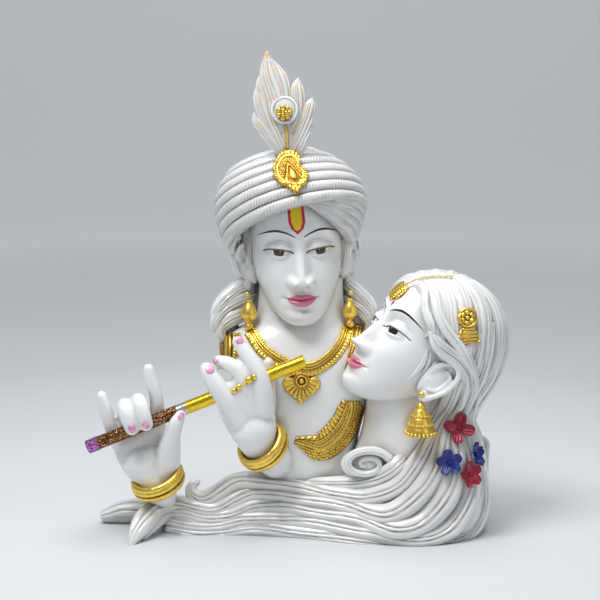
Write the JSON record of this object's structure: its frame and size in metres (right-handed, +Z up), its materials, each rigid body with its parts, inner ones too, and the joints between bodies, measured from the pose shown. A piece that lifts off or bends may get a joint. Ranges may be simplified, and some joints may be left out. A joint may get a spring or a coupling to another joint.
{
  "type": "radha krishna statue",
  "caption": "Cast statue of a turbaned flute player's bust with a companion's head at the shoulder, long hair spreading into a flat foot, and a separate flute held in both hands.",
  "frame": {"origin": "on the flat underside, below the middle of the flute player's neck", "axes": "+Z up, the figures' front towards -Y, +X towards the companion's side"},
  "size_m": [0.3201, 0.1291, 0.362],
  "materials": {
    "white_enamel": "glossy white painted resin cast, warm grey settled in the hollows",
    "gilding": "gold paint, bright on the edges and brown in the lows",
    "painted_flowers": "gloss crimson and royal blue paint with pale strokes",
    "flute_wrap": "gold foil on one half, mixed rust and green glitter on the other, purple glitter cap"
  },
  "bodies": {
    "root": {"statue": "white_enamel", "flute": "flute_wrap"}
  },
  "joints": []
}
